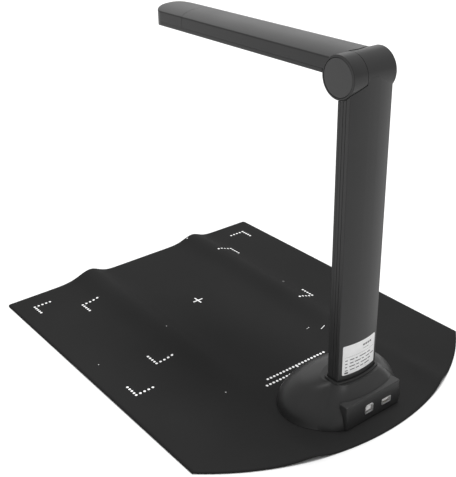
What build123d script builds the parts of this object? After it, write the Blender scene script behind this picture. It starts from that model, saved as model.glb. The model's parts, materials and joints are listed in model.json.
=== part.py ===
from build123d import *

# Folding document camera standing on its printed copy mat.
#
# Millimetres, +Z up.  X runs across the mat, -Y towards the reader's side where the
# papers lie, +Y towards the sockets.  The origin is the middle of the whole object's
# footprint, on the surface that the mat lies on.
# The mat carries the weighted base; the mast rises from the base; the arm with the
# camera head folds about one friction hinge at the top of the mast.
import os

# ---------------------------------------------------------------- driving dimensions
# copy mat, with an A3 frame printed on it
MAT_WIDTH = 480.0
MAT_LENGTH = 591.0
MAT_THICK = 2.0
MAT_BOW = 91.5                      # rise of the curved rear edge
MAT_CORNER_R = 4.0

# both limbs (mast and arm) share one D section: flat inner face, crowned outer face
LIMB_WIDTH = 66.0
LIMB_SIDE = 19.5                    # depth of the straight side walls
LIMB_CROWN = 5.5                    # further rise of the crowned face
LIMB_FLAT_R = 2.0                   # corners beside the flat face
LIMB_CROWN_R = 1.2                  # corners beside the crowned face
WALL = 2.2
COVER_LIP = 5.0                     # the flat cover reaches this far up the sides
PARTING_GAP = 0.3
TONGUE_RISE = 2.5                   # the covers' tongues reach this far past the parting
TONGUE_THICK = 1.0
TONGUE_FIT = 0.1
GROOVE_DEPTHS = (9.5, 14.0)         # fine grooves along the mast's side walls
GROOVE_SIZE = 0.6

# hinge
HINGE_Y = 213.0
HINGE_Z = 438.0
HINGE_R = LIMB_SIDE + LIMB_CROWN    # the barrel is as deep as the limbs
FOLD_GAP = 0.3                      # each limb's flat face stands this far off the axis
SWEEP_GAP = 0.6                     # radial room round the other limb's knuckle
SPLIT_X = 12.0                      # plane between the mast's and the arm's knuckle
SPLIT_GAP = 0.3                     # each knuckle's distance from that plane
CAP_R = 22.4
CAP_THICK = 3.0
SHAFT_R = 5.0
SHAFT_BORE_R = 2.4
RUNNING_FIT = 0.05
KNUCKLE_WEB = 3.0
PLATE_THICK = 3.0
LEG_NEAR = 7.0                      # the hinge plates' legs, measured from the axis
LEG_FAR = 18.5
LEG_REACH = 110.0

# mast
MAST_FOOT_Z = 9.0

# arm and camera head
ARM_LENGTH = 361.0                  # hinge axis to tip
TIP_CORNER_R = 22.0
TIP_BOW = 3.0
TIP_ROUND = 2.0                     # edge between the crown and the side walls
SEAM_REACH = 299.0                  # arm cover's end on the centre line, from the axis
SEAM_BOW_R = 62.0
LENS_REACH = 326.0                  # optical axis, straight above the printed cross
BUTTON_REACH = 262.0

# base: ovals from the rim up to the crown round the mast foot
# (height above the mat, half width, front edge Y, rear edge Y)
DOME_STATIONS = (
    (0.6, 88.5, 132.0, 272.0),
    (10.0, 87.0, 136.0, 264.0),
    (20.0, 83.0, 143.5, 257.0),
    (30.0, 75.0, 154.0, 250.0),
    (38.0, 66.0, 166.0, 244.0),
    (44.0, 55.0, 179.0, 240.0),
    (48.5, 41.0, 193.0, 238.0),
)
# rear lobe that sweeps from the mast foot over the socket housing
# (height above the mat, half width, rear edge Y, corner radius)
LOBE_STATIONS = (
    (0.6, 77.0, 271.0, 40.0),
    (10.0, 72.0, 269.0, 36.0),
    (20.0, 64.0, 266.5, 30.0),
    (30.0, 55.5, 263.0, 24.0),
    (38.0, 48.5, 258.0, 20.0),
    (44.0, 42.0, 252.0, 17.0),
    (48.5, 36.0, 246.0, 14.0),
)
LOBE_FRONT_Y = 212.0
LOBE_BOW_R = 136.0                  # sideways bow of the lobe's rear side
VALLEY_R = 9.0                      # soft valley where the lobe meets the dome
# hollow inside the base, set out as the dome is
ROOM_STATIONS = (
    (0.0, 86.0, 134.5, 268.0),
    (14.0, 82.5, 142.0, 260.5),
    (33.0, 60.0, 170.0, 245.0),
)
COLLAR_GAP = 1.0                    # dark slit round the mast foot
COLLAR_WIDTH = 3.0
COLLAR_HALF_WIDTH = LIMB_WIDTH / 2 + COLLAR_GAP + COLLAR_WIDTH
COLLAR_TOP = 50.6
PLATE_Z = MAT_THICK + 1.0           # underside of the base plate, on the feet
PLATE_T = 2.4
PLATE_FIT = 2.0                     # clear of the rim, whose room narrows upwards

BALLAST_Y = 176.0
BALLAST_HALF = (58.0, 29.0)         # half length and half width of the cast slab
BALLAST_T = 9.0

# socket housing at the rear of the base
HOUSING_HALF_WIDTH = 48.0
HOUSING_FRONT_Y = 252.0
HOUSING_REAR_Y = 265.0
HOUSING_TOP_Z = 37.0
HOUSING_FIT = 0.2
BOARD_TOP_Z = 13.5
BOARD_T = 1.6
BOARD_HALF_WIDTH = 43.0
BOARD_Y = (241.5, 262.0)
USB_B_X = 8.0
USB_B_SIZE = (12.0, 10.8)           # width and height of the square socket's metal shell
USB_B_BEVEL = 2.6
USB_B_DEPTH = 16.0
USB_B_TONGUE = (8.0, 6.0)
USB_A_X = -23.0
USB_A_SIZE = (14.0, 6.4)
USB_A_DEPTH = 14.0
USB_A_TONGUE = (11.1, 2.2)
USB_WALL = 0.6

SCREW_POST_R = 3.6
SCREW_BORE_R = 1.6
SCREW_BORE_DEPTH = 12.0
SCREW_HEAD_R = 2.8
SCREW_HEAD_T = 1.2
SCREW_SEAT = 1.4                    # the heads sink this far into the base plate
SCREW_SHANK_R = 1.45

FOOT_PLACES = [(x, y) for x in (-62.0, 62.0) for y in (178.0, 230.0)]
FOOT_R = 7.0
FOOT_RECESS = 1.2
FOOT_SCREW_PLACES = [(x, y) for x in (-39.5, 39.5) for y in (HINGE_Y + 2, HINGE_Y + 21)]
SCREW_PLACES = [(-45.0, 158.0), (45.0, 158.0), (-72.0, 212.0), (72.0, 212.0)]

LABEL_Z = (60.0, 103.0)
LABEL_WIDTH = 56.0
LABEL_T = 0.2


FAR = 60.0                          # past the side of every limb and over the base


# ---------------------------------------------------------------- shared helpers
def block(x, y, z):
    """A box given by its lowest and highest X, Y and Z."""
    return Pos((x[0] + x[1]) / 2, (y[0] + y[1]) / 2, (z[0] + z[1]) / 2) * Box(
        x[1] - x[0], y[1] - y[0], z[1] - z[0])


def post(radius, x, y, z):
    """An upright cylinder between two heights."""
    return Pos(x, y, (z[0] + z[1]) / 2) * Cylinder(radius, z[1] - z[0])


def axle(radius, x, inner=0.0):
    """A disc, rod or tube on the hinge axis between two X planes."""
    rod = Cylinder(radius, x[1] - x[0])
    if inner:
        rod -= Cylinder(inner, x[1] - x[0])
    return Pos((x[0] + x[1]) / 2, HINGE_Y, HINGE_Z) * Rot(0, 90, 0) * rod


def limb_profile(inset=0.0, sharp_crown=False):
    """D section of a limb; local Y runs from the flat face to the crown."""
    half = LIMB_WIDTH / 2 - inset
    shoulder = LIMB_SIDE - inset
    outline = Polyline((-half, shoulder), (-half, inset), (half, inset), (half, shoulder))
    outline += ThreePointArc((-half, shoulder), (0, shoulder + LIMB_CROWN), (half, shoulder))
    section = make_face(outline)
    corners = section.vertices().sort_by(Axis.Y)
    flat_r = max(LIMB_FLAT_R - inset, 0.5)
    section = fillet(corners[:2], flat_r)
    if sharp_crown:
        return section
    crown_r = max(LIMB_CROWN_R - inset, 0.5)
    upper = [v for v in section.vertices() if v.Y > shoulder - 0.01]
    return fillet(upper, crown_r)


def depth_band(low, high, inset=0.0):
    """The part of a limb section between two depths from its flat face."""
    width = 2 * LIMB_WIDTH
    band = Pos(0, (low + high) / 2) * Rectangle(width, high - low)
    return limb_profile(inset) & band


DEPTH_MAX = LIMB_SIDE + LIMB_CROWN + 1


def cover_profile():
    """Flat cover: face plate and short side lips."""
    return depth_band(0, COVER_LIP) - depth_band(WALL, COVER_LIP, WALL)


def tongue_profile():
    """Two thin tongues that stand behind the lips and enter the crowned shell."""
    reach = COVER_LIP + TONGUE_RISE
    strip = Rectangle(TONGUE_THICK, reach - WALL / 2)
    x = LIMB_WIDTH / 2 - WALL - TONGUE_THICK / 2
    pair = [Pos(side * x, (reach + WALL / 2) / 2) * strip for side in (-1, 1)]
    return pair[0] + pair[1]


def shell_profile():
    """Crowned shell: everything beyond the parting line, hollowed."""
    hollow = limb_profile(WALL)
    relief = [Pos(side * (LIMB_WIDTH / 2 - WALL), COVER_LIP) * Rectangle(
        2 * TONGUE_FIT, 2 * TONGUE_RISE + 2 * TONGUE_FIT) for side in (-1, 1)]
    return depth_band(COVER_LIP + PARTING_GAP, DEPTH_MAX) - hollow - relief[0] - relief[1]


# ---------------------------------------------------------------- copy mat
def make_mat():
    half, front = MAT_WIDTH / 2, -MAT_LENGTH / 2
    apex = MAT_LENGTH / 2
    shoulder = apex - MAT_BOW
    outline = Polyline((-half, shoulder), (-half, front), (half, front), (half, shoulder))
    outline += ThreePointArc((-half, shoulder), (0, apex), (half, shoulder))
    sheet = make_face(outline)
    sheet = fillet(sheet.vertices().sort_by(Axis.Y)[:2], MAT_CORNER_R)
    return extrude(sheet, MAT_THICK)


# ---------------------------------------------------------------- base
def oval(half_width, front, rear):
    return Pos(0, (front + rear) / 2) * Ellipse(half_width, (rear - front) / 2)


def lobe_plan(half_width, rear, corner_r):
    """Rounded outline whose rear side is bowed."""
    plan = Pos(0, (LOBE_FRONT_Y + rear) / 2) * Rectangle(2 * half_width, rear - LOBE_FRONT_Y)
    plan &= Pos(0, rear - LOBE_BOW_R) * Circle(LOBE_BOW_R)
    return fillet(plan.vertices().sort_by(Axis.Y)[-2:], corner_r)


def in_valley(edge, dome, lobe):
    """True for an edge above the rim, clear of the collar, that lies on both bodies."""
    middle = edge.position_at(0.5)
    on_both = max(dome.distance_to(middle), lobe.distance_to(middle)) < 0.02
    return on_both and abs(middle.X) > COLLAR_HALF_WIDTH and middle.Z > 2 * MAT_THICK


def base_form():
    """Outside of the base: an oval dome and a rear lobe, joined by a soft valley."""
    dome = loft([Plane.XY.offset(MAT_THICK + height) * oval(half_width, front, rear)
                 for height, half_width, front, rear in DOME_STATIONS])
    lobe = loft([Plane.XY.offset(MAT_THICK + height) * lobe_plan(half_width, rear, corner_r)
                 for height, half_width, rear, corner_r in LOBE_STATIONS])
    body = dome + lobe
    body = fillet([e for e in body.edges() if in_valley(e, dome, lobe)], VALLEY_R)
    return body - block((-FAR * 2, FAR * 2), (HOUSING_REAR_Y, 300.0), (0, FAR))


def base_room():
    """Hollow inside the base; its straight slopes leave at least one wall's thickness."""
    rooms = []
    for low, high in zip(ROOM_STATIONS, ROOM_STATIONS[1:]):
        pair = [Plane.XY.offset(MAT_THICK + height) * oval(half_width, front, rear)
                for height, half_width, front, rear in (low, high)]
        rooms.append(loft(pair, ruled=True))
    return rooms[0] + rooms[1]


def mast_place(sketch, low, high):
    """Extrude a limb section as part of the mast."""
    return Pos(0, HINGE_Y + FOLD_GAP, low) * extrude(sketch, high - low)


def collar_plan(grow):
    return offset(limb_profile(), COLLAR_GAP + grow)


def make_base_shell():
    top = MAT_THICK + COLLAR_TOP
    collar = mast_place(collar_plan(COLLAR_WIDTH), MAT_THICK + 36, top)
    collar = chamfer(collar.edges().group_by(Axis.Z)[-1], 0.8)
    room = base_room()
    for x, y in SCREW_PLACES:
        room -= post(SCREW_POST_R, x, y, (PLATE_Z + PLATE_T, FAR))
    shell = base_form() + collar - room
    for x, y in SCREW_PLACES:
        shell -= post(SCREW_BORE_R, x, y, (PLATE_Z, PLATE_Z + SCREW_BORE_DEPTH))
    shell -= mast_place(collar_plan(0), 0, FAR + 20)
    notch = HOUSING_HALF_WIDTH + HOUSING_FIT
    shell -= block((-notch, notch), (HOUSING_FRONT_Y - HOUSING_FIT, 300.0),
                   (0, HOUSING_TOP_Z + HOUSING_FIT))
    return shell


def make_base_plate():
    """Flat steel-backed floor of the base, standing in the shell's rim."""
    _, half_width, front, rear = ROOM_STATIONS[0]
    plate = Pos(0, 0, PLATE_Z) * extrude(
        oval(half_width - PLATE_FIT, front + PLATE_FIT, rear - PLATE_FIT), PLATE_T)
    notch = HOUSING_HALF_WIDTH + 2 * HOUSING_FIT
    plate -= block((-notch, notch), (HOUSING_FRONT_Y - 2 * HOUSING_FIT, 300.0), (0, 40.0))
    for x, y in FOOT_PLACES:
        plate -= post(FOOT_R + 0.1, x, y, (0, PLATE_Z + FOOT_RECESS))
    for x, y in SCREW_PLACES:
        plate -= post(SCREW_BORE_R + 0.1, x, y, (0, FAR))
        plate -= post(SCREW_HEAD_R + 0.3, x, y, (0, PLATE_Z + SCREW_SEAT))
    for x, y in FOOT_SCREW_PLACES:
        plate -= post(SCREW_BORE_R, x, y, (PLATE_Z + 0.8, FAR))
    return plate


def make_rubber_feet():
    feet = []
    for x, y in FOOT_PLACES:
        disc = post(FOOT_R, x, y, (MAT_THICK, PLATE_Z + FOOT_RECESS))
        feet.append(chamfer(disc.edges().group_by(Axis.Z)[0], 0.4))
    return Compound(children=feet)


def screw(head_r, head_t, shank_r, length):
    """Pan-head screw pointing up, underside of the head at z = 0."""
    return post(head_r, 0, 0, (-head_t, 0)) + post(shank_r, 0, 0, (0, length))


def make_base_screws():
    fastener = screw(SCREW_HEAD_R, SCREW_HEAD_T, SCREW_SHANK_R, 9.0)
    return Compound(children=[Pos(x, y, PLATE_Z + SCREW_SEAT) * fastener
                              for x, y in SCREW_PLACES])


def make_ballast():
    slab = Pos(0, BALLAST_Y, PLATE_Z + PLATE_T) * extrude(Ellipse(*BALLAST_HALF), BALLAST_T)
    slab = chamfer(slab.edges().group_by(Axis.Z)[-1], 2.0)
    for x, y in SCREW_PLACES:
        slab -= post(SCREW_POST_R + 1, x, y, (0, FAR))
    return slab


# ---------------------------------------------------------------- sockets
def make_socket_housing():
    half = HOUSING_HALF_WIDTH
    body = block((-half, half), (HOUSING_FRONT_Y, HOUSING_REAR_Y), (PLATE_Z, HOUSING_TOP_Z))
    upright = body.edges().filter_by(Axis.Z).group_by(Axis.Y)[-1]
    body = fillet(upright, 2.5)
    crest = body.faces().sort_by(Axis.Z)[-1].edges()
    body = fillet(crest.filter_by(lambda e: e.center().Y > HOUSING_FRONT_Y + 1), 1.2)
    body -= block((-half + WALL, half - WALL), (HOUSING_FRONT_Y - 1, HOUSING_REAR_Y - WALL),
                  (PLATE_Z + WALL, HOUSING_TOP_Z - WALL))
    for cutter in (usb_b_outline(0.25), usb_a_outline(0.25)):
        body -= cutter
    return body


def usb_b_section(grow=0.0):
    """Square B socket seen from the rear: upper corners bevelled."""
    face = Rectangle(USB_B_SIZE[0] + 2 * grow, USB_B_SIZE[1] + 2 * grow)
    return chamfer(face.vertices().group_by(Axis.Y)[-1], USB_B_BEVEL)


def usb_a_section(grow=0.0):
    return RectangleRounded(USB_A_SIZE[0] + 2 * grow, USB_A_SIZE[1] + 2 * grow, 0.8)


REAR_VIEW = Plane(origin=(0, 0, 0), x_dir=(-1, 0, 0), z_dir=(0, 1, 0))
USB_B_Z = BOARD_TOP_Z + USB_B_SIZE[1] / 2
USB_A_Z = BOARD_TOP_Z + USB_A_SIZE[1] / 2
SOCKET_MOUTH_Y = HOUSING_REAR_Y - 0.3


def rear_extrude(sketch, x, z, low, high):
    """Extrude a section that faces the rear between two Y planes."""
    return Pos(x, low, z) * (REAR_VIEW * extrude(sketch, high - low))


def usb_b_outline(grow=0.0):
    return rear_extrude(usb_b_section(grow), USB_B_X, USB_B_Z, SOCKET_MOUTH_Y - USB_B_DEPTH,
                        SOCKET_MOUTH_Y + 1)


def usb_a_outline(grow=0.0):
    return rear_extrude(usb_a_section(grow), USB_A_X, USB_A_Z, SOCKET_MOUTH_Y - USB_A_DEPTH,
                        SOCKET_MOUTH_Y + 1)


def make_usb_b():
    """Metal shell and plastic insert of the square socket."""
    mouth = SOCKET_MOUTH_Y
    back = mouth - USB_B_DEPTH
    shell = rear_extrude(usb_b_section(), USB_B_X, USB_B_Z, back, mouth)
    shell -= rear_extrude(usb_b_section(-USB_WALL), USB_B_X, USB_B_Z, back + USB_WALL, mouth + 1)
    section = usb_b_section(-USB_WALL - 0.1)
    insert = rear_extrude(section, USB_B_X, USB_B_Z, back + USB_WALL + 0.1, back + 7)
    insert += rear_extrude(Rectangle(*USB_B_TONGUE), USB_B_X, USB_B_Z, back + 7, mouth - 1)
    return shell, insert


def make_usb_a():
    """Metal shell and plastic insert of the flat socket; the tongue sits high."""
    mouth = SOCKET_MOUTH_Y
    back = mouth - USB_A_DEPTH
    shell = rear_extrude(usb_a_section(), USB_A_X, USB_A_Z, back, mouth)
    shell -= rear_extrude(usb_a_section(-USB_WALL), USB_A_X, USB_A_Z, back + USB_WALL, mouth + 1)
    section = usb_a_section(-USB_WALL - 0.1)
    insert = rear_extrude(section, USB_A_X, USB_A_Z, back + USB_WALL + 0.1, back + 6)
    insert += rear_extrude(Rectangle(*USB_A_TONGUE), USB_A_X, USB_A_Z + 1, back + 6, mouth - 0.6)
    return shell, insert


def make_main_board():
    board = block((-BOARD_HALF_WIDTH, BOARD_HALF_WIDTH), BOARD_Y,
                  (BOARD_TOP_Z - BOARD_T, BOARD_TOP_Z))
    board += block((-6.0, 6.0), (242.5, 248.0), (BOARD_TOP_Z, BOARD_TOP_Z + 1.2))
    board += block((-37.0, -30.0), (244.0, 251.0), (BOARD_TOP_Z, BOARD_TOP_Z + 1.6))
    for x in (-38.0, 38.0):
        board -= post(1.7, x, 258.0, (0, 40.0))
    return board


# ---------------------------------------------------------------- mast
def barrel_room(x):
    """Swept room round the other limb's knuckle."""
    return axle(HINGE_R + SWEEP_GAP, x)


def knuckle(x, web_side):
    """Hollow knuckle; web_side is -1 or +1 for the end that keeps a web with a bore."""
    tube = axle(HINGE_R, x)
    rim = tube.edges().filter_by(GeomType.CIRCLE).sort_by(Axis.X)
    tube = chamfer(rim[0] if web_side > 0 else rim[-1], 0.8)
    inner = (x[0] - 1, x[1] - KNUCKLE_WEB) if web_side > 0 else (x[0] + KNUCKLE_WEB, x[1] + 1)
    tube -= axle(CAP_R, inner)
    tube -= axle(SHAFT_R + 2.5, (x[0] - 1, x[1] + 1))
    return tube


MAST_KNUCKLE = (-LIMB_WIDTH / 2, SPLIT_X - SPLIT_GAP)
ARM_KNUCKLE = (SPLIT_X + SPLIT_GAP, LIMB_WIDTH / 2)


def make_mast_shell():
    profile = shell_profile()
    for depth in GROOVE_DEPTHS:
        for side in (-1, 1):
            groove = Rectangle(2 * GROOVE_SIZE, GROOVE_SIZE)
            profile -= Pos(side * LIMB_WIDTH / 2, depth) * groove
    shell = mast_place(profile, MAST_FOOT_Z, HINGE_Z)
    shell -= barrel_room((SPLIT_X - SPLIT_GAP, FAR))
    shell -= axle(HINGE_R - 1.0, (-FAR, SPLIT_X))
    barrel = knuckle(MAST_KNUCKLE, 1)
    passage = mast_place(depth_band(COVER_LIP + 1, DEPTH_MAX, WALL), HINGE_Z - 40, HINGE_Z - 2)
    passage &= block((-FAR, SPLIT_X - SPLIT_GAP - KNUCKLE_WEB), (0, 400), (0, 500))
    return shell + barrel - passage


def make_mast_cover():
    cover = mast_place(cover_profile() + tongue_profile(), MAST_FOOT_Z, HINGE_Z - HINGE_R / 2)
    cover -= barrel_room((SPLIT_X - SPLIT_GAP, FAR))
    return cover - axle(HINGE_R + 0.1, (-FAR, SPLIT_X))


def make_mast_foot_bracket():
    """Steel channel that stands in the mast and is screwed to the base plate."""
    low = PLATE_Z + PLATE_T
    flange = block((-44.0, 44.0), (HINGE_Y - 4, HINGE_Y + 27), (low, low + PLATE_THICK))
    flange = fillet(flange.edges().filter_by(Axis.Z), 4.0)
    outer = Pos(0, 9.6) * Rectangle(54.0, 12.0)
    channel = outer - Pos(0, 9.6 + PLATE_THICK) * Rectangle(54.0 - 2 * PLATE_THICK, 12.0)
    upright = mast_place(channel, low + PLATE_THICK, 72.0)
    for x, y in FOOT_SCREW_PLACES:
        flange -= post(1.6, x, y, (0, 20.0))
    return flange + upright


def make_foot_screws():
    top = PLATE_Z + PLATE_T + PLATE_THICK
    return Compound(children=[Pos(x, y, top) * Rot(180, 0, 0) * screw(2.4, 1.4, 1.45, 4.5)
                              for x, y in FOOT_SCREW_PLACES])


def make_label():
    """Paper rating label that follows the mast's crowned rear face."""
    outer = offset(limb_profile(), LABEL_T)
    skin = mast_place(outer, *LABEL_Z) - mast_place(limb_profile(), 0, HINGE_Z)
    half = LABEL_WIDTH / 2
    window = block((-half, half), (HINGE_Y + LIMB_SIDE, 300.0), LABEL_Z)
    window = fillet(window.edges().filter_by(Axis.Y), 2.0)
    return skin & window


# ---------------------------------------------------------------- hinge
def hinge_plate(x, leg):
    """Steel plate on the axis with a leg that reaches into a limb."""
    plate = axle(18.0, x) + leg
    return plate - axle(SHAFT_R + RUNNING_FIT, (x[0] - 1, x[1] + 1))


def make_mast_hinge_plate():
    x = (SPLIT_X - SPLIT_GAP - KNUCKLE_WEB - PLATE_THICK, SPLIT_X - SPLIT_GAP - KNUCKLE_WEB)
    leg = block(x, (HINGE_Y + LEG_NEAR, HINGE_Y + LEG_FAR), (HINGE_Z - LEG_REACH, HINGE_Z))
    return hinge_plate(x, leg)


def make_arm_hinge_plate():
    x = (SPLIT_X + SPLIT_GAP + KNUCKLE_WEB, SPLIT_X + SPLIT_GAP + KNUCKLE_WEB + PLATE_THICK)
    leg = block(x, (HINGE_Y - LEG_REACH, HINGE_Y), (HINGE_Z + LEG_NEAR, HINGE_Z + LEG_FAR))
    return hinge_plate(x, leg)


STACK_X = SPLIT_X + SPLIT_GAP + KNUCKLE_WEB + PLATE_THICK + 0.1


def make_hinge_shaft():
    head_x = SPLIT_X - SPLIT_GAP - KNUCKLE_WEB - PLATE_THICK
    shaft = axle(SHAFT_R, (head_x - 1, STACK_X + 9.5)) + axle(9.0, (head_x - 3, head_x))
    shaft = chamfer(shaft.edges().sort_by(Axis.X)[-1], 0.6)
    return shaft - axle(SHAFT_BORE_R, (head_x - 10, STACK_X + 20))


def make_friction_washers():
    first = axle(12.0, (STACK_X, STACK_X + 0.9), SHAFT_R)
    web_side = SPLIT_X - SPLIT_GAP
    second = axle(12.0, (web_side + 0.05, web_side + 2 * SPLIT_GAP - 0.05), SHAFT_R)
    return Compound(children=[first, second])


def make_disc_springs():
    """Coned spring discs that keep the friction stack loaded."""
    discs = []
    for index in range(2):
        x = STACK_X + 1.4 + index * 1.7
        lean = 0.5 if index % 2 else -0.5
        near = x + 0.6 - lean / 2 - 0.3
        outline = Polyline((near, SHAFT_R), (near + 0.6, SHAFT_R), (near + lean + 0.6, 9.5),
                           (near + lean, 9.5), (near, SHAFT_R))
        ring = revolve(make_face(outline), Axis.X)
        discs.append(Pos(0, HINGE_Y, HINGE_Z) * ring)
    return Compound(children=discs)


def make_lock_nut():
    x = (STACK_X + 5.2, STACK_X + 9.0)
    nut = extrude(RegularPolygon(8.0, 6), x[1] - x[0])
    nut -= Cylinder(SHAFT_R, 30.0)
    return Pos(x[0], HINGE_Y, HINGE_Z) * Rot(0, 90, 0) * nut


def make_end_cap(side):
    """Chamfered disc that closes a knuckle; side is the X direction it faces."""
    outer = side * LIMB_WIDTH / 2
    span = sorted((outer, outer - side * CAP_THICK))
    cap = axle(CAP_R - 0.1, span)
    rims = cap.edges().filter_by(GeomType.CIRCLE).sort_by(Axis.X)
    cap = chamfer(rims[-1] if side > 0 else rims[0], 0.8)
    return cap


# ---------------------------------------------------------------- arm
def arm_place(sketch, near, far):
    """Extrude a limb section along the arm between two distances from the axis."""
    flat = HINGE_Z + FOLD_GAP
    return Pos(0, HINGE_Y - near, flat) * (Plane.XZ * extrude(sketch, far - near))


def arm_plan(inset=0.0):
    """Plan of the arm's free end, rounded and slightly bowed."""
    half = LIMB_WIDTH / 2 - inset
    tip = HINGE_Y - ARM_LENGTH + inset
    outline = Polyline((-half, tip + TIP_BOW), (-half, HINGE_Y + 40), (half, HINGE_Y + 40),
                       (half, tip + TIP_BOW))
    outline += ThreePointArc((-half, tip + TIP_BOW), (0, tip), (half, tip + TIP_BOW))
    plan = make_face(outline)
    return fillet(plan.vertices().sort_by(Axis.Y)[:2], TIP_CORNER_R - inset)


def arm_envelope(inset=0.0):
    return Pos(0, 0, HINGE_Z - 50) * extrude(arm_plan(inset), 120)


def arm_form():
    """Outside of the whole arm with its rounded tip, without the knuckle."""
    section = limb_profile(sharp_crown=True)
    body = arm_place(section, 0, ARM_LENGTH + 5) & arm_envelope()
    shoulder_z = HINGE_Z + LIMB_SIDE - 0.5
    rim = [e for e in body.edges() if e.center().Z > shoulder_z and e.center().Y < HINGE_Y - 1]
    return fillet(rim, TIP_ROUND)


def arm_hollow():
    return arm_place(limb_profile(WALL), 0, ARM_LENGTH + 5) & arm_envelope(WALL)


def seam_tool(shift):
    """Upright cylinder whose wall is the joint between arm cover and head cap."""
    centre_y = HINGE_Y - SEAM_REACH + SEAM_BOW_R
    return Pos(0, centre_y, HINGE_Z) * Cylinder(SEAM_BOW_R + shift, 120.0)


def seam_side(shift):
    """Everything on the hinge side of the joint."""
    behind = block((-FAR, FAR), (HINGE_Y - SEAM_REACH + SEAM_BOW_R, 400.0), (300.0, 600.0))
    return seam_tool(shift) + behind


def above_parting():
    return block((-FAR, FAR), (-200, 300),
                 (HINGE_Z + FOLD_GAP + COVER_LIP + PARTING_GAP, HINGE_Z + 60))


def make_arm_cover(form):
    upper = (form - arm_hollow()) & above_parting()
    cover = upper & seam_side(-0.2)
    cover -= barrel_room((-FAR, SPLIT_X + SPLIT_GAP))
    cover -= axle(HINGE_R - 1.0, (SPLIT_X, FAR))
    barrel = knuckle(ARM_KNUCKLE, -1)
    passage = arm_place(depth_band(COVER_LIP + 1, DEPTH_MAX, WALL), 2, 40)
    passage &= block((SPLIT_X + SPLIT_GAP + KNUCKLE_WEB, FAR), (0, 400), (0, 500))
    return cover + barrel - passage


def make_head_cap(form):
    upper = (form - arm_hollow()) & above_parting()
    return upper - seam_side(0.2)


def led_slot(x, inset=0.0):
    """Rounded slot beside the lens, seen from below."""
    slot = SlotOverall(34.0 - 2 * inset, 8.0 - 2 * inset, rotation=90)
    return Pos(x, HINGE_Y - LENS_REACH) * slot


LED_X = (-22.0, 22.0)
UNDER_Z = HINGE_Z + FOLD_GAP
LENS_Y = HINGE_Y - LENS_REACH
BUTTON_Y = HINGE_Y - BUTTON_REACH


def make_arm_bottom(form):
    """Flat cover under the arm with the lens, lamp and button openings."""
    plate = arm_place(cover_profile(), HINGE_R / 2, ARM_LENGTH + 5) & arm_envelope()
    plate += arm_place(tongue_profile(), HINGE_R / 2, ARM_LENGTH - TIP_CORNER_R - 2)
    plate += (form - arm_envelope(WALL)) & block(
        (-FAR, FAR), (-200, HINGE_Y - ARM_LENGTH + 30), (UNDER_Z, UNDER_Z + COVER_LIP))
    plate -= barrel_room((-FAR, SPLIT_X + SPLIT_GAP))
    plate -= axle(HINGE_R + 0.1, (SPLIT_X, FAR))
    plate -= post(11.0, 0, LENS_Y, (UNDER_Z - 1, UNDER_Z + 8))
    for x in LED_X:
        plate -= Pos(0, 0, UNDER_Z - 1) * extrude(led_slot(x), 8)
    plate -= post(5.3, 0, BUTTON_Y, (UNDER_Z - 1, UNDER_Z + 8))
    return plate


def make_lens_bezel():
    """Dished ring that frames the lens window."""
    ring = post(10.9, 0, LENS_Y, (UNDER_Z, UNDER_Z + 3.4))
    bowl = Pos(0, LENS_Y, UNDER_Z) * Cone(9.6, 7.6, 1.6, align=(Align.CENTER, Align.CENTER,
                                                              Align.MIN))
    return ring - bowl - post(7.6, 0, LENS_Y, (UNDER_Z, UNDER_Z + 10))


def make_lens_window():
    return post(7.5, 0, LENS_Y, (UNDER_Z + 1.8, UNDER_Z + 2.8))


def make_lens_barrel():
    """Stepped barrel; the front glass shows behind the window."""
    barrel = post(6.6, 0, LENS_Y, (UNDER_Z + 3.6, UNDER_Z + 6.0))
    barrel += post(5.8, 0, LENS_Y, (UNDER_Z + 6.0, UNDER_Z + 12.0))
    bowl = Pos(0, LENS_Y, UNDER_Z + 3.6) * Cone(5.6, 3.6, 1.8, align=(
        Align.CENTER, Align.CENTER, Align.MIN))
    return barrel - bowl


def make_front_lens():
    dome = Pos(0, LENS_Y, UNDER_Z + 5.4 + 6.4) * Sphere(7.3)
    return dome & post(3.5, 0, LENS_Y, (UNDER_Z + 4.0, UNDER_Z + 5.4))


def make_lens_holder():
    size = 8.0
    body = block((-size, size), (LENS_Y - size, LENS_Y + size), (UNDER_Z + 8.0, UNDER_Z + 14.0))
    body = fillet(body.edges().filter_by(Axis.Z), 1.5)
    return body - post(5.9, 0, LENS_Y, (UNDER_Z, UNDER_Z + 12.1))


def make_camera_board():
    return block((-19.0, 19.0), (LENS_Y - 15, LENS_Y + 17), (UNDER_Z + 14.0, UNDER_Z + 15.2))


def make_led_diffusers():
    panes = []
    for x in LED_X:
        pane = Pos(0, 0, UNDER_Z + 0.3) * extrude(led_slot(x, 0.1), 1.6)
        panes.append(pane)
    return Compound(children=panes)


def make_led_boards():
    boards = []
    for x in LED_X:
        boards.append(block((x - 4.2, x + 4.2), (LENS_Y - 18, LENS_Y + 18),
                            (UNDER_Z + 5.2, UNDER_Z + 6.2)))
    return Compound(children=boards)


def make_leds():
    chips = []
    for x in LED_X:
        for step in (-1.5, -0.5, 0.5, 1.5):
            chip = block((x - 1.6, x + 1.6), (-1.8, 1.8), (UNDER_Z + 4.4, UNDER_Z + 5.2))
            chips.append(Pos(0, LENS_Y + step * 8.0, 0) * chip)
    return Compound(children=chips)


def make_lamp_button():
    """Touch-size push button under the arm; its collar sits behind the cover."""
    face = post(5.0, 0, BUTTON_Y, (UNDER_Z + 0.1, UNDER_Z + 2.4))
    face = chamfer(face.edges().group_by(Axis.Z)[0], 0.4)
    collar = post(6.4, 0, BUTTON_Y, (UNDER_Z + WALL + 0.15, UNDER_Z + 3.4))
    return face + collar


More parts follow.
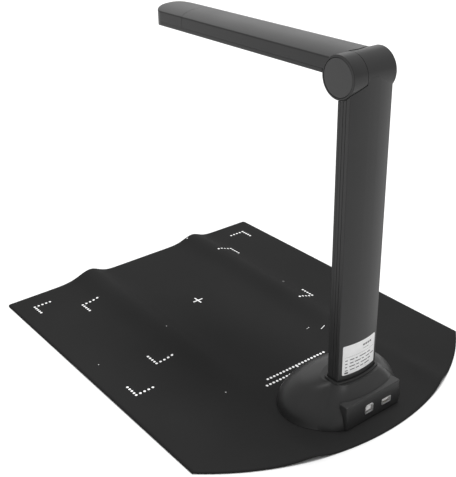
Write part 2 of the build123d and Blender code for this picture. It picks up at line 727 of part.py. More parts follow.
def make_button_switch():
    body = block((-3.0, 3.0), (BUTTON_Y - 3.0, BUTTON_Y + 3.0), (UNDER_Z + 6.0, UNDER_Z + 9.0))
    return body + post(1.7, 0, BUTTON_Y, (UNDER_Z + 4.3, UNDER_Z + 6.0))


def make_button_board():
    return block((-12.0, 12.0), (BUTTON_Y - 9.0, BUTTON_Y + 9.0), (UNDER_Z + 9.0, UNDER_Z + 10.2))


# ---------------------------------------------------------------- assembly
def main():
    os.makedirs("parts", exist_ok=True)
    usb_b_shell, usb_b_insert = make_usb_b()
    usb_a_shell, usb_a_insert = make_usb_a()
    form = arm_form()
    nodes = {
        "copy_mat": make_mat(),
        "base_shell": make_base_shell(),
        "base_plate": make_base_plate(),
        "base_ballast": make_ballast(),
        "rubber_feet": make_rubber_feet(),
        "base_screws": make_base_screws(),
        "socket_housing": make_socket_housing(),
        "main_board": make_main_board(),
        "usb_b_shell": usb_b_shell,
        "usb_b_insert": usb_b_insert,
        "usb_a_shell": usb_a_shell,
        "usb_a_insert": usb_a_insert,
        "mast_foot_bracket": make_mast_foot_bracket(),
        "mast_foot_screws": make_foot_screws(),
        "mast_rear_shell": make_mast_shell(),
        "mast_front_cover": make_mast_cover(),
        "rating_label": make_label(),
        "mast_hinge_plate": make_mast_hinge_plate(),
        "hinge_shaft": make_hinge_shaft(),
        "friction_washers": make_friction_washers(),
        "disc_springs": make_disc_springs(),
        "hinge_lock_nut": make_lock_nut(),
        "mast_end_cap": make_end_cap(-1),
        "arm_top_cover": make_arm_cover(form),
        "arm_bottom_cover": make_arm_bottom(form),
        "camera_head_cap": make_head_cap(form),
        "arm_hinge_plate": make_arm_hinge_plate(),
        "arm_end_cap": make_end_cap(1),
        "lens_bezel": make_lens_bezel(),
        "lens_window": make_lens_window(),
        "lens_barrel": make_lens_barrel(),
        "front_lens": make_front_lens(),
        "lens_holder": make_lens_holder(),
        "camera_board": make_camera_board(),
        "led_diffusers": make_led_diffusers(),
        "led_boards": make_led_boards(),
        "lamp_leds": make_leds(),
        "lamp_button": make_lamp_button(),
        "button_switch": make_button_switch(),
        "button_board": make_button_board(),
    }
    for name, shape in nodes.items():
        export_step(shape, f"parts/{name}.step")
        print(f"{name:20s} {shape.volume:12.1f} mm3, {len(shape.solids())} solid(s)")


if __name__ == "__main__":
    main()
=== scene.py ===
# %% [markdown]
# # A folding document camera on its copy mat
# The real object is a desk scanner: a weighted base stands on a soft printed mat, a mast
# rises from it, and an arm with the camera head folds down from a friction hinge.
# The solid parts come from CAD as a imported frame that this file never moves. Here they get
# their finishes, and the soft mat, the printing and the small contacts are modelled round
# them. Everything is in metres, and the frame's own boxes say where things go.

# %% Load the frame
import json
import math

import bmesh
import bpy
from mathutils import Matrix, Vector
from mathutils.bvhtree import BVHTree


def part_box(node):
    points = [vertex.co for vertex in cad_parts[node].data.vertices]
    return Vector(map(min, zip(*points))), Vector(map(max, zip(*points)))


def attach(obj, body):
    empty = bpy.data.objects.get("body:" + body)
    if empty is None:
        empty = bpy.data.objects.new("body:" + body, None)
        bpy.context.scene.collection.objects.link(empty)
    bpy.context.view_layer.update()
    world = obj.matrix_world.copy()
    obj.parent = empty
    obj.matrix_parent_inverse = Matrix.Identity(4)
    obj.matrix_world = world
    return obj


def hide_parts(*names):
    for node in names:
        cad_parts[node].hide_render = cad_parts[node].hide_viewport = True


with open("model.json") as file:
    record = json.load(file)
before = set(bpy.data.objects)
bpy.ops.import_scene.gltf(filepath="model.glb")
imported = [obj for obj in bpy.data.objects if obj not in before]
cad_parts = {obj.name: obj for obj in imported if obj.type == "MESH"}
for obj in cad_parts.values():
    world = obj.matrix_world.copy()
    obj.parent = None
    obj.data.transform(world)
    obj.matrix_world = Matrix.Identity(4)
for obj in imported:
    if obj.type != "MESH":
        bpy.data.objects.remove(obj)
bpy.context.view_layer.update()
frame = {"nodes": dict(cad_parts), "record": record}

MM = 0.001
nodes = frame["nodes"]

# %% [markdown]
# ## Camera
# The view looks down on the socket side, from behind the base and to one side of it. A
# medium-long lens keeps the mast nearly upright and the arm's taper gentle. Aiming at a point
# and then rolling the camera about its own axis is easier to read than three angles.

# %% Camera
EYE = Vector((0.67754, 0.85738, 0.69662))
AIM = Vector((-0.1727, -0.2571, 0.002))
ROLL = math.radians(-1.30)

camera_data = bpy.data.cameras.new("camera")
camera_data.sensor_width = 36
camera_data.lens = 65.07
camera = bpy.data.objects.new("camera", camera_data)
level = (AIM - EYE).to_track_quat("-Z", "Y").to_matrix()
camera.matrix_world = Matrix.Translation(EYE) @ (level @ Matrix.Rotation(ROLL, 3, "Z")).to_4x4()
bpy.context.scene.collection.objects.link(camera)
bpy.context.scene.camera = camera
print("camera distance", round((AIM - EYE).length, 3))

# %% [markdown]
# ## Studio
# Dark plastic shows its shape by what it reflects, so the room is an even pale dome. A broad
# diffuser overhead leans a little to one side, which models the folds of the mat, and a wide
# softbox on the far side, facing the camera, draws the grazing sheen along the top faces. The
# floor is plain white paper, wide enough to fill the view.

# %% Floor and lights
FLOOR_HALF = 9.0
FLOOR_DROP = 0.2 * MM
ROOM_STRENGTH = 0.48


def new_object(name, bm, material=None):
    """Turns a finished bmesh into an object at the origin."""
    mesh = bpy.data.meshes.new(name)
    bm.to_mesh(mesh)
    bm.free()
    made = bpy.data.objects.new(name, mesh)
    bpy.context.scene.collection.objects.link(made)
    if material:
        mesh.materials.append(material)
    return made


floor_bm = bmesh.new()
bmesh.ops.create_grid(floor_bm, x_segments=2, y_segments=2, size=FLOOR_HALF)
bmesh.ops.translate(floor_bm, verts=floor_bm.verts, vec=(0, 0, -FLOOR_DROP))
floor = new_object("floor", floor_bm)

world = bpy.data.worlds.new("studio")
world.use_nodes = True
bpy.context.scene.world = world
room = world.node_tree.nodes["Background"]
room.inputs["Color"].default_value = (1, 1, 1, 1)
room.inputs["Strength"].default_value = ROOM_STRENGTH


def hang(data, place, target):
    """Puts a light into the studio, pointing from its place at the target."""
    lamp = bpy.data.objects.new(data.name, data)
    lamp.location = place
    lamp.rotation_euler = (Vector(target) - Vector(place)).to_track_quat("-Z", "Y").to_euler()
    bpy.context.scene.collection.objects.link(lamp)


def softbox(name, place, target, width, height, power):
    data = bpy.data.lights.new(name, "AREA")
    data.shape = "RECTANGLE"
    data.size, data.size_y, data.energy = width, height, power
    hang(data, place, target)


def diffused_ceiling(name, place, strength, spread):
    """A broad light that falls evenly on the whole floor, from the direction of place."""
    data = bpy.data.lights.new(name, "SUN")
    data.energy, data.angle = strength, math.radians(spread)
    hang(data, place, (0, 0, 0))


diffused_ceiling("ceiling_diffuser", place=(-0.42, -0.10, 2.4), strength=3.0, spread=26)
softbox("rear_softbox", place=(-1.6, -2.1, 1.5), target=(0, 0, 0.3),
        width=2.6, height=1.6, power=9)
bpy.context.scene.view_settings.view_transform = "Standard"

# %% [markdown]
# ## How the finishes are made
# Every finish starts from noise on Object coordinates, which are metres on these parts, so a
# scale of 1000 is a speckle of about a millimetre. One noise drives a small change of colour
# and roughness, and a finer one drives a bump. Values that don't vary sit on the shader.

# %% Helpers for finishes
NOISE_LOW, NOISE_HIGH = 0.3, 0.7        # nearly all of a noise's values lie between these


def start_finish(name, roughness, metallic=0.0, specular=0.5):
    material = bpy.data.materials.new(name)
    material.use_nodes = True
    shader = material.node_tree.nodes["Principled BSDF"]
    shader.inputs["Roughness"].default_value = roughness
    shader.inputs["Metallic"].default_value = metallic
    shader.inputs["Specular IOR Level"].default_value = specular
    return material, material.node_tree, shader


def noise(tree, scale, detail=2.0, stretch=(1, 1, 1)):
    """Noise on Object coordinates; stretch scales the pattern along each axis."""
    coords = tree.nodes.new("ShaderNodeTexCoord")
    mapping = tree.nodes.new("ShaderNodeMapping")
    mapping.inputs["Scale"].default_value = stretch
    texture = tree.nodes.new("ShaderNodeTexNoise")
    texture.inputs["Scale"].default_value = scale
    texture.inputs["Detail"].default_value = detail
    tree.links.new(coords.outputs["Object"], mapping.inputs["Vector"])
    tree.links.new(mapping.outputs["Vector"], texture.inputs["Vector"])
    return texture.outputs["Fac"]


def tint(tree, factor, dark, light, shader):
    """Runs the base colour from dark to light over the middle of a noise's range."""
    ramp = tree.nodes.new("ShaderNodeValToRGB")
    ramp.color_ramp.elements[0].position = NOISE_LOW
    ramp.color_ramp.elements[0].color = (*dark, 1)
    ramp.color_ramp.elements[1].position = NOISE_HIGH
    ramp.color_ramp.elements[1].color = (*light, 1)
    tree.links.new(factor, ramp.inputs["Fac"])
    tree.links.new(ramp.outputs["Color"], shader.inputs["Base Color"])


def vary(tree, factor, low, high, shader):
    """Runs the roughness from low to high over the middle of a noise's range."""
    spread = tree.nodes.new("ShaderNodeMapRange")
    spread.inputs["From Min"].default_value = NOISE_LOW
    spread.inputs["From Max"].default_value = NOISE_HIGH
    spread.inputs["To Min"].default_value = low
    spread.inputs["To Max"].default_value = high
    tree.links.new(factor, spread.inputs["Value"])
    tree.links.new(spread.outputs["Result"], shader.inputs["Roughness"])


def emboss(tree, factor, strength, depth, shader):
    """Raises a bump of the given depth from a noise."""
    bump = tree.nodes.new("ShaderNodeBump")
    bump.inputs["Strength"].default_value = strength
    bump.inputs["Distance"].default_value = depth
    tree.links.new(factor, bump.inputs["Height"])
    tree.links.new(bump.outputs["Normal"], shader.inputs["Normal"])


def grey(value, warm=0.0):
    return (value * (1 + warm), value, value * (1 - warm))


print("helpers ready; noise runs from", NOISE_LOW, "to", NOISE_HIGH)

# %% [markdown]
# ## Paper floor
# Seamless white studio paper: a very faint cloudiness so that it isn't one flat value.

# %% Paper floor finish
paper, tree, shader = start_finish("studio_paper", 0.9, specular=0.1)
tint(tree, noise(tree, 1.3), grey(0.83), grey(0.86), shader)
floor.data.materials.append(paper)
print("floor paper:", paper.name)

# %% [markdown]
# ## Charcoal shells
# The housings are ABS moulded in a spark-eroded tool, which leaves a fine even grain and a
# soft sheen. The grain is a fine noise bump, and a slow noise shifts colour and gloss a
# little, as wall thickness does on a real moulding.

# %% Charcoal shell finish
def moulded(name, dark, light, rough_low, rough_high, grain=0.25, specular=0.5):
    material, tree, shader = start_finish(name, rough_low, specular=specular)
    slow = noise(tree, 14, 3)
    tint(tree, slow, dark, light, shader)
    vary(tree, slow, rough_low, rough_high, shader)
    emboss(tree, noise(tree, 2300, 1), grain, 0.05 * MM, shader)
    return material


finishes = {
    "charcoal_shell": moulded("charcoal_shell", grey(0.030), grey(0.034), 0.32, 0.37,
                              specular=0.23),
    "cap_plastic": moulded("cap_plastic", grey(0.042), grey(0.047), 0.34, 0.38, 0.12, 0.33),
    "switch_plastic": moulded("switch_plastic", grey(0.016), grey(0.02), 0.4, 0.45),
    "foot_rubber": moulded("foot_rubber", grey(0.012), grey(0.017), 0.8, 0.88, 0.4, 0.3),
}
print("moulded finishes:", sorted(finishes))

# %% [markdown]
# ## Mat sheet
# The mat is a soft black vinyl pressed with a faint leather grain. It is far duller than the
# shells, so its specular level is close to nothing. Cells from a Voronoi texture give the
# pressed pebbles, and a broad noise gives the handled look.

# %% Mat finish
def pebbles(tree, scale):
    coords = tree.nodes.new("ShaderNodeTexCoord")
    cells = tree.nodes.new("ShaderNodeTexVoronoi")
    cells.inputs["Scale"].default_value = scale
    tree.links.new(coords.outputs["Object"], cells.inputs["Vector"])
    return cells.outputs["Distance"]


vinyl, tree, shader = start_finish("mat_vinyl", 0.6, specular=0.02)
broad = noise(tree, 6, 4)
tint(tree, broad, grey(0.0180), grey(0.0212), shader)
vary(tree, broad, 0.58, 0.68, shader)
emboss(tree, pebbles(tree, 900), 0.3, 0.08 * MM, shader)
finishes["mat_sheet"] = vinyl

ink, tree, shader = start_finish("white_ink", 0.55, specular=0.3)
tint(tree, noise(tree, 700, 2), grey(0.80), grey(0.90), shader)
emboss(tree, noise(tree, 1500), 0.2, 0.03 * MM, shader)
print("mat finishes made")

# %% [markdown]
# ## Metals
# Zinc-plated screws, plates and ballast are a dull brushed grey; the socket shells are
# nickel-plated and brighter; the friction washers are brass, and the lens barrel is black
# anodised. Brushing is a noise stretched along one axis.

# %% Metal finishes
def metal(name, dark, light, rough_low, rough_high, stretch, depth=0.02):
    material, tree, shader = start_finish(name, rough_low, metallic=1.0)
    brushed = noise(tree, 420, 3, stretch)
    tint(tree, brushed, dark, light, shader)
    vary(tree, brushed, rough_low, rough_high, shader)
    emboss(tree, brushed, 0.15, depth * MM, shader)
    return material


finishes["steel"] = metal("zinc_steel", grey(0.42), grey(0.56), 0.32, 0.45, (1, 0.08, 1))
finishes["socket_metal"] = metal("nickel", grey(0.80), grey(0.88, 0.01), 0.32, 0.42, (0.2, 1, 1))
finishes["washer_brass"] = metal("brass", (0.55, 0.40, 0.15), (0.68, 0.52, 0.22), 0.25, 0.35,
                                 (1, 1, 0.3))
finishes["barrel_metal"] = metal("black_anodised", grey(0.02), grey(0.035), 0.3, 0.4,
                                 (1, 1, 0.05))
contact_gold = metal("contact_gold", (0.78, 0.55, 0.22), (0.88, 0.66, 0.30), 0.2, 0.28,
                     (1, 0.2, 1))
print("metal finishes:", sorted(finishes))

# %% [markdown]
# ## Boards, inserts, label and lamps
# The circuit boards are glass-fibre under green mask, with the copper just showing. The socket
# inserts are white nylon. The label is silvered film. The lamp strips are frosted acrylic
# over phosphor-coated chips.

# %% Board, nylon, film and lamp finishes
mask, tree, shader = start_finish("board_mask", 0.3)
copper = noise(tree, 260, 1, (1, 0.1, 1))
tint(tree, copper, (0.012, 0.085, 0.035), (0.03, 0.16, 0.07), shader)
emboss(tree, copper, 0.3, 0.04 * MM, shader)
finishes["board"] = mask

nylon, tree, shader = start_finish("white_nylon", 0.45)
tint(tree, noise(tree, 300), grey(0.88), grey(0.93, 0.01), shader)
emboss(tree, noise(tree, 2600), 0.15, 0.03 * MM, shader)
finishes["socket_insert"] = nylon

film, tree, shader = start_finish("label_film", 0.35, specular=0.4)
tint(tree, noise(tree, 90, 3), grey(0.82), grey(0.88), shader)
emboss(tree, noise(tree, 500, 2), 0.12, 0.02 * MM, shader)
finishes["label_film"] = film

label_ink, tree, shader = start_finish("label_ink", 0.5, specular=0.3)
tint(tree, noise(tree, 1400, 2), grey(0.07), grey(0.12), shader)

frosted, tree, shader = start_finish("frosted_acrylic", 0.35)
shader.inputs["Transmission Weight"].default_value = 0.25
tint(tree, noise(tree, 900, 2), grey(0.74), grey(0.82), shader)
emboss(tree, noise(tree, 3000), 0.2, 0.03 * MM, shader)
finishes["diffuser"] = frosted

chip, tree, shader = start_finish("lamp_phosphor", 0.4)
tint(tree, noise(tree, 800), (0.75, 0.62, 0.16), (0.85, 0.75, 0.25), shader)
finishes["led_chip"] = chip
print("finishes:", sorted(finishes))

# %% [markdown]
# ## Glass
# The window is plain flat glass; the lens carries a coating, which gives it a violet cast.
# Both are Principled with transmission, a little less of it in the lens, and the coating is a
# tint from Layer Weight, which changes with angle as a real one does.

# %% Glass finishes
window, tree, shader = start_finish("window_glass", 0.03)
shader.inputs["Transmission Weight"].default_value = 1.0
shader.inputs["IOR"].default_value = 1.5
tint(tree, noise(tree, 60), grey(0.90), grey(0.94), shader)
finishes["window_glass"] = window

coated, tree, shader = start_finish("coated_glass", 0.02)
shader.inputs["Transmission Weight"].default_value = 0.8
shader.inputs["IOR"].default_value = 1.6
angle = tree.nodes.new("ShaderNodeLayerWeight")
angle.inputs["Blend"].default_value = 0.35
tint(tree, angle.outputs["Facing"], (0.10, 0.06, 0.22), (0.30, 0.10, 0.35), shader)
finishes["lens_glass"] = coated
print("glass finishes made")

# %% [markdown]
# ## Finishes onto the CAD parts
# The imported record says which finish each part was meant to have, so one loop dresses them.

# %% Dress the CAD parts
slot_of = {s["node"]: s["material_slot"] for s in frame["record"]["subparts"]}
for name, part in nodes.items():
    part.data.materials.clear()
    part.data.materials.append(finishes[slot_of[name]])
print("dressed", len(slot_of), "parts in", len(set(slot_of.values())), "finishes")

# %% [markdown]
# ## Copy mat
# The mat is one soft sheet that was rolled up in its box, so two shallow folds still stand in
# it, one each side of the middle. A flat sheet would look like a board. It is a grid laid out
# to the mat's outline, raised where the folds run, and kept flat under the base, and Solidify
# gives it thickness. Cloth simulation would flatten such set-in folds, so they are shaped.

# %% The mat's outline
mat_low, mat_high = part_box("copy_mat")
MAT_HALF = mat_high.x
MAT_FRONT = mat_low.y
MAT_REAR = mat_high.y
MAT_THICK = mat_high.z - mat_low.z
MAT_BOW = 91.5 * MM
BOW_RADIUS = (MAT_HALF ** 2 + MAT_BOW ** 2) / (2 * MAT_BOW)
CORNER_RADIUS = 4 * MM

base_low, base_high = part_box("base_shell")
BASE_MIDDLE = (base_low + base_high) / 2
BASE_REACH = (base_high - base_low) / 2
BASE_MARGIN = 4 * MM
BASE_BLEND = 0.45                       # as a share of the base's reach


def ease(t):
    t = min(1.0, max(0.0, t))
    return t * t * (3 - 2 * t)


def rear_edge(x):
    return MAT_REAR - (BOW_RADIUS - math.sqrt(BOW_RADIUS ** 2 - x ** 2))


def clear_of_base(x, y):
    """0 under the base, rising to 1 a little way outside its footprint."""
    reach = math.hypot((x - BASE_MIDDLE.x) / (BASE_REACH.x + BASE_MARGIN),
                       (y - BASE_MIDDLE.y) / (BASE_REACH.y + BASE_MARGIN))
    return ease((reach - 1.0) / BASE_BLEND)


print("mat outline:", round(2 * MAT_HALF, 3), "by", round(MAT_REAR - MAT_FRONT, 3), "metres")

# %% [markdown]
# ## Folds in the mat
# Each fold is a ridge with a bell-shaped section, steeper on one side, whose line, height and
# fade are written as functions of the place on the mat. Adding the ridges gives one height
# function, which both the mat and the print on it follow.

# %% The folds
NEAR_FOLD_X, NEAR_FOLD_SWING = 90 * MM, 34 * MM
NEAR_FOLD_HEIGHT, NEAR_FOLD_LOSS = 12.4 * MM, 4.0 * MM
NEAR_FOLD_SPREAD = (20 * MM, 15 * MM)
NEAR_FOLD_LEFT = 0.2                    # share of the height that stays beside the base
FAR_FOLD_X, FAR_FOLD_WAVE = -120 * MM, 3 * MM
FAR_FOLD_HEIGHT, FAR_FOLD_LOSS = 10.0 * MM, 6.5 * MM
FAR_FOLD_SPREAD = (17 * MM, 14 * MM)
EDGE_WAVE_HEIGHT = 3.0 * MM
# x of the crest, its spread, and where along y it starts and over what length it rises
EDGE_WAVES = ((110 * MM, (12 * MM, 11 * MM), (215 * MM, 45 * MM)),
              (-124 * MM, (9 * MM, 12 * MM), (195 * MM, 50 * MM)))


def hump(offset, spread):
    """Bell of height 1 across a fold; spread is its reach on the plus and the minus side."""
    return math.exp(-0.5 * (offset / spread[0 if offset > 0 else 1]) ** 2)


def fade(value, start, length):
    """0 up to start, easing to 1 over the length after it."""
    return ease((value - start) / length)


def along_mat(y):
    return (y - MAT_FRONT) / (MAT_REAR - MAT_FRONT)


def near_fold(x, y):
    """Swings outwards and loses most of its height on the way to the rear."""
    line = NEAR_FOLD_X + NEAR_FOLD_SWING * fade(y, 100 * MM, 170 * MM)
    height = NEAR_FOLD_HEIGHT - NEAR_FOLD_LOSS * along_mat(y)
    height *= 1 - (1 - NEAR_FOLD_LEFT) * fade(y, 20 * MM, 150 * MM)
    return height * hump(x - line, NEAR_FOLD_SPREAD)


def far_fold(x, y):
    """Wanders a little and loses most of its height towards the rear."""
    line = FAR_FOLD_X - FAR_FOLD_WAVE * math.sin(7 * along_mat(y))
    height = FAR_FOLD_HEIGHT - FAR_FOLD_LOSS * fade(along_mat(y), 0.35, 0.6)
    return height * hump(x - line, FAR_FOLD_SPREAD)


def edge_waves(x, y):
    """Where the folds end, the rear edge lifts in two short waves."""
    return sum(EDGE_WAVE_HEIGHT * hump(x - crest, spread) * fade(y, *run)
               for crest, spread, run in EDGE_WAVES)


def mat_top(x, y):
    """Height of the mat's upper face: the folds and a faint swell, flat under the base."""
    swell = (0.5 * math.sin(11 * x + 3 * y) * math.sin(9 * y + 1.0) + 0.5) * MM
    rise = near_fold(x, y) + far_fold(x, y) + edge_waves(x, y) + swell
    return MAT_THICK + rise * clear_of_base(x, y)


print("fold heights at the front edge:", round(near_fold(NEAR_FOLD_X, MAT_FRONT), 4),
      round(far_fold(FAR_FOLD_X, MAT_FRONT), 4))

# %% [markdown]
# ## The sheet itself
# A square grid is stretched to the outline row by row, so its rear row follows the curved edge.
# Its front corners are rounded with a vertex bevel, then every point takes its height.

# %% The mat sheet
GRID_ACROSS, GRID_ALONG = 96, 118       # cells of about five millimetres
CORNER_AT = 0.499                       # the unit grid's corners lie beyond this both ways


def thicken(piece, name, thickness):
    """Gives a sheet its thickness, on the side that its normals face away from."""
    wall = piece.modifiers.new(name, "SOLIDIFY")
    wall.thickness = thickness
    wall.offset = -1


def make_mat():
    bm = bmesh.new()
    bmesh.ops.create_grid(bm, x_segments=GRID_ACROSS, y_segments=GRID_ALONG, size=0.5)
    corners = [v for v in bm.verts if v.co.y < -CORNER_AT and abs(v.co.x) > CORNER_AT]
    for v in bm.verts:
        x = v.co.x * 2 * MAT_HALF
        v.co = (x, MAT_FRONT + (v.co.y + 0.5) * (rear_edge(x) - MAT_FRONT), 0)
    bmesh.ops.bevel(bm, geom=corners, offset=CORNER_RADIUS, affect="VERTICES", segments=3,
                    profile=0.5, material=-1)
    for v in bm.verts:
        v.co.z = mat_top(v.co.x, v.co.y)
    print("mat surface", round(sum(f.calc_area() for f in bm.faces), 4), "square metres")
    return new_object("mat_sheet", bm, finishes["mat_sheet"])


mat = make_mat()
thicken(mat, "thickness", MAT_THICK)
mat.data.shade_smooth()
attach(mat, "stand")
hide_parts("copy_mat")

# %% [markdown]
# ## Printed size marks
# The print shows where A4 and A3 papers go: rows of dots form the corners, a cross marks the
# middle, and two dotted rules run along the base. Screen print lies in a thin raised film, so
# each dot is a very thin disc of its own, following the folds. A lone flat face has no inside,
# so recalculating normals leaves many of these facing down. They are thickened upwards and
# stand a hair clear of the mat. That is a known fault, too small to see, still to be put right.

# %% Dots, dashes and the cross
PRINT_MIDDLE_Y = -113 * MM
INK_PROUD = 0.12 * MM
DOT = 1.9 * MM
PAPER_HALVES = ((210 * MM, 148.5 * MM), (148.5 * MM, 105 * MM))
CORNER_STEPS = 4
CORNER_PITCH = (6.6 * MM, 5.5 * MM)
CROSS_LENGTH, CROSS_WIDTH = 17.5 * MM, 2.2 * MM
# half length of a dotted rule, its distance from the cross, number of dots
INNER_RULE, OUTER_RULE = (52 * MM, 232.6 * MM, 19), (62 * MM, 243 * MM, 22)
# x, distance from the cross, radius, in millimetres
RULE_DOT = (0, 235.2, 1.6)
SPECKS = ((213, 55, 0.7), (91, 46, 0.6), (116, 222, 0.7), (-107, -179, 1.2))
# x, distance from the cross, length, width, in millimetres, and the turn in degrees
DASHES = ((-140, 46, 4, 0.5, 0), (-94, 187, 9, 1.0, 12), (-78, 172, 6, 0.5, 12))


def dot(bm, x, y, radius=DOT):
    made = bmesh.ops.create_circle(bm, cap_ends=True, segments=10, radius=radius)
    bmesh.ops.translate(bm, verts=made["verts"], vec=(x, y, 0))


def bar(bm, x, y, length, width, turn):
    made = bmesh.ops.create_grid(bm, x_segments=4, y_segments=1, size=0.5)
    bmesh.ops.scale(bm, verts=made["verts"], vec=(length, width, 1))
    bmesh.ops.rotate(bm, verts=made["verts"], cent=(0, 0, 0),
                     matrix=Matrix.Rotation(math.radians(turn), 3, "Z"))
    bmesh.ops.translate(bm, verts=made["verts"], vec=(x, y, 0))


def corner_mark(bm, x, y):
    """Dots inwards from a paper corner at x, y about the print's middle."""
    step_x = -math.copysign(CORNER_PITCH[0], x)
    step_y = -math.copysign(CORNER_PITCH[1], y)
    dot(bm, x, PRINT_MIDDLE_Y + y)
    for step in range(1, CORNER_STEPS + 1):
        dot(bm, x + step_x * step, PRINT_MIDDLE_Y + y)
        dot(bm, x, PRINT_MIDDLE_Y + y + step_y * step)


def dotted_rule(bm, half_length, y, count):
    for i in range(count):
        dot(bm, half_length * (1 - 2 * i / (count - 1)), PRINT_MIDDLE_Y + y)


def speck(bm, x, y, radius):
    dot(bm, x * MM, PRINT_MIDDLE_Y + y * MM, radius * MM)


def make_print():
    bm = bmesh.new()
    for half_long, half_short in PAPER_HALVES:
        for side in (-1, 1):
            for end in (-1, 1):
                corner_mark(bm, side * half_long, end * half_short)
    for turn in (0, 90):
        bar(bm, 0, PRINT_MIDDLE_Y, CROSS_LENGTH, CROSS_WIDTH, turn)
    dotted_rule(bm, *INNER_RULE)
    speck(bm, *RULE_DOT)
    dotted_rule(bm, *OUTER_RULE)
    for place in SPECKS:
        speck(bm, *place)
    for x, y, length, width, turn in DASHES:
        bar(bm, x * MM, PRINT_MIDDLE_Y + y * MM, length * MM, width * MM, turn)
    bmesh.ops.remove_doubles(bm, verts=bm.verts, dist=0.01 * MM)
    print("printed marks:", len(bm.faces), "faces")
    for v in bm.verts:
        v.co.z = mat_top(v.co.x, v.co.y) + INK_PROUD
    bmesh.ops.recalc_face_normals(bm, faces=bm.faces)
    return new_object("printed_marks", bm, ink)


marks = make_print()
thicken(marks, "ink_film", 2 * INK_PROUD)
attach(marks, "stand")

# %% [markdown]
# ## What the mat is cut from
# The mat is stamped from flat sheet.

# %% [markdown]
# ## Printing on the rating label
# A rating label carries a ruled table of small type. The real wording isn't copied: short grey
# bars stand for the lines of type, as a designer's placeholder does. Each bar is a thin strip
# laid on the crowned label by casting rays at it, so it follows the curve. Two faces point
# inwards and have the fault described for the mat's print.

# %% Label bars
def surface_of(name):
    """A CAD part's surface, for casting rays at."""
    part = nodes[name]
    points = [part.matrix_world @ v.co for v in part.data.vertices]
    return BVHTree.FromPolygons(points, [tuple(p.vertices) for p in part.data.polygons])


LABEL_INK_PROUD = 0.04 * MM
COLUMNS_PER_SPAN = 16                   # enough to follow the label's crown
CAST_START = 20 * MM
# bars are across, down and length as shares of the label, and a height in millimetres
HEADING = [(0.56 + 0.075 * word, 0.17, 0.055, 2.6) for word in range(4)]
RULED_LINES = [(0.56, 0.29, 0.20, 0.6), (0.05, 0.40, 0.90, 0.25)]
FOOT_MARK = [(0.06, 0.935, 0.09, 2.2)]
ROW_EDGE, ROW_TOP, ROW_PITCH, TYPE_HEIGHT = 0.07, 0.51, 0.115, 1.3
SHORT_DASH, WIDE_GAP, GAP = 0.1, 0.06, 0.035
ROWS = ((0.06, 0.12, 0.06, 0.22, 0.10), (0.06, 0.10, 0.18, 0.07, 0.13, 0.12),
        (0.05, 0.16, 0.08, 0.20, 0.09), (0.07, 0.13, 0.10, 0.10, 0.16))
label_low, label_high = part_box("rating_label")
LABEL_SPAN = label_high - label_low


def label_bar(bm, across, down, length, height):
    """A strip on the label; across runs from its +X edge and down from its top, 0 to 1."""
    columns = max(2, round(length * COLUMNS_PER_SPAN))
    made = bmesh.ops.create_grid(bm, x_segments=columns, y_segments=1, size=0.5)
    for v in made["verts"]:
        x = label_high.x - (across + length * (v.co.x + 0.5)) * LABEL_SPAN.x
        z = label_high.z - down * LABEL_SPAN.z + v.co.y * (height * MM)
        v.co = (x, 0, z)


def lines_of_type():
    """The table's rows: dashes one after another, with a wider gap after each short one."""
    for row, dashes in enumerate(ROWS):
        across = ROW_EDGE
        for length in dashes:
            yield across, ROW_TOP + row * ROW_PITCH, length, TYPE_HEIGHT
            across += length + (WIDE_GAP if length < SHORT_DASH else GAP)


def make_label_print():
    bm = bmesh.new()
    for strip in (*HEADING, *RULED_LINES, *lines_of_type(), *FOOT_MARK):
        label_bar(bm, *strip)
    skin = surface_of("rating_label")
    for v in bm.verts:
        start = Vector((v.co.x, label_high.y + CAST_START, v.co.z))
        v.co.y = skin.ray_cast(start, Vector((0, -1, 0)))[0].y + LABEL_INK_PROUD
    bmesh.ops.recalc_face_normals(bm, faces=bm.faces)
    print("label bars:", len(bm.faces), "faces")
    return new_object("label_print", bm, label_ink)


label_print = make_label_print()
thicken(label_print, "ink_film", 2 * LABEL_INK_PROUD)
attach(label_print, "stand")

# %% [markdown]
# ## Socket contacts
# The sprung contacts lie in the nylon tongues: two above and two below in the square socket,
# four in a row under the flat one's tongue. They are stamped from gold-flashed strip, so each
# is a small rounded bar let into the tongue and standing slightly proud of it.

# %% Contacts
CONTACT_WIDTH, CONTACT_THICK, CONTACT_ROUND = 1.0 * MM, 0.3 * MM, 0.08 * MM
# places across each socket, how far in the middle of a contact lies, and its length
SQUARE_COLUMNS, SQUARE_DEPTH, SQUARE_LENGTH = (-1.25 * MM, 1.25 * MM), 3.4 * MM, 6.0 * MM
SQUARE_LEVEL = 3.0 * MM                 # above and below the middle of the square socket
FLAT_COLUMNS = (-3.5 * MM, -1.0 * MM, 1.0 * MM, 3.5 * MM)
FLAT_DEPTH, FLAT_LENGTH = 3.0 * MM, 5.0 * MM


def contact(bm, place, length):
    made = bmesh.ops.create_cube(bm, size=1.0)
    bmesh.ops.scale(bm, verts=made["verts"], vec=(CONTACT_WIDTH, length, CONTACT_THICK))
    bmesh.ops.translate(bm, verts=made["verts"], vec=place)
    edges = [e for e in bm.edges if all(v in made["verts"] for v in e.verts)]
    bmesh.ops.bevel(bm, geom=edges, offset=CONTACT_ROUND, affect="EDGES", segments=2,
                    profile=0.5, material=-1)


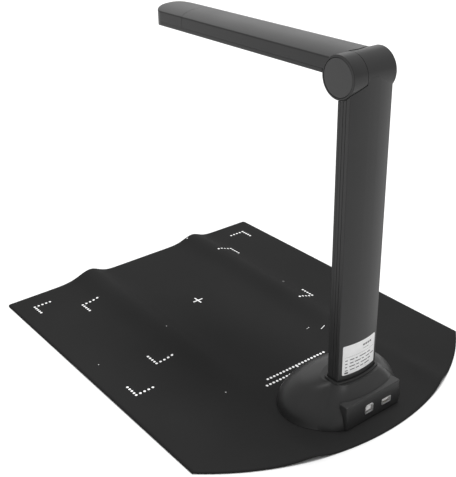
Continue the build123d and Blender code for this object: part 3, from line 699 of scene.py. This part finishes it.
def make_contacts():
    bm = bmesh.new()
    low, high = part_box("usb_b_insert")
    middle = (low + high) / 2
    for side in (-1, 1):
        for x in SQUARE_COLUMNS:
            place = (middle.x + x, high.y - SQUARE_DEPTH, middle.z + side * SQUARE_LEVEL)
            contact(bm, place, SQUARE_LENGTH)
    low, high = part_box("usb_a_insert")
    middle = (low + high) / 2
    tongue = surface_of("usb_a_insert")
    for x in FLAT_COLUMNS:
        below = Vector((middle.x + x, high.y - FLAT_DEPTH, low.z - 1 * MM))
        underside = tongue.ray_cast(below, Vector((0, 0, 1)))[0].z
        contact(bm, (below.x, below.y, underside), FLAT_LENGTH)
    print("socket contacts:", len(bm.faces), "faces")
    return new_object("socket_contacts", bm, contact_gold)


contacts = make_contacts()
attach(contacts, "stand")

# %% [markdown]
# ## Rolled lips of the sockets
# The metal shell of a socket is rolled outwards round its mouth, which guides the plug in and
# hides the gap to the housing. Each lip starts as one plate as large as its outer edge; the
# corners are cut, an inset leaves the ring, and a bevel rounds the raised rims.

# %% Socket lips
LIP_REACH = 1.25 * MM
LIP_WALL = 0.45 * MM
LIP_RISE = 0.45 * MM
LIP_ROUND = 0.2 * MM
LIP_CLEAR = 0.02 * MM                   # the lip stands this far off the housing
SHARP = 0.5                             # radians between faces that count as a rim


def make_lip(name, shell, upper_bevel, lower_bevel):
    """Ring round a socket's mouth: a plate with cut corners, inset, opened, raised, rounded."""
    low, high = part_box(shell)
    size, middle = high - low, (low + high) / 2
    bm = bmesh.new()
    bmesh.ops.create_grid(bm, x_segments=1, y_segments=1, size=0.5)
    bmesh.ops.scale(bm, verts=bm.verts, vec=(size.x + 2 * LIP_REACH, size.z + 2 * LIP_REACH, 1))
    bmesh.ops.rotate(bm, verts=bm.verts, cent=(0, 0, 0),
                     matrix=Matrix.Rotation(math.radians(90), 3, "X"))
    for side, cut in ((1, upper_bevel), (-1, lower_bevel)):
        corners = [v for v in bm.verts if v.co.z * side > size.z / 2]
        bmesh.ops.bevel(bm, geom=corners, offset=cut, affect="VERTICES", segments=1,
                        profile=0.5, material=-1)
    mouth = bm.faces[:]
    bmesh.ops.inset_region(bm, faces=mouth, thickness=LIP_REACH + LIP_WALL,
                           use_even_offset=True, use_boundary=True)
    bmesh.ops.delete(bm, geom=mouth, context="FACES")
    raised = bmesh.ops.extrude_face_region(bm, geom=bm.faces[:])["geom"]
    bmesh.ops.translate(bm, verts=[v for v in raised if isinstance(v, bmesh.types.BMVert)],
                        vec=(0, LIP_RISE, 0))
    rims = [e for e in bm.edges if all(v.co.y > LIP_RISE / 2 for v in e.verts)
            and e.calc_face_angle() > SHARP]
    bmesh.ops.bevel(bm, geom=rims, offset=LIP_ROUND, affect="EDGES", segments=3, profile=0.5,
                    material=-1)
    bmesh.ops.recalc_face_normals(bm, faces=bm.faces)
    rear_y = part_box("socket_housing")[1].y
    bmesh.ops.translate(bm, verts=bm.verts, vec=(middle.x, rear_y + LIP_CLEAR, middle.z))
    print(name, len(bm.faces), "faces")
    lip = new_object(name, bm, finishes["socket_metal"])
    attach(lip, "stand")


make_lip("usb_b_lip", "usb_b_shell", upper_bevel=2.6 * MM, lower_bevel=0.6 * MM)
make_lip("usb_a_lip", "usb_a_shell", upper_bevel=0.8 * MM, lower_bevel=0.8 * MM)
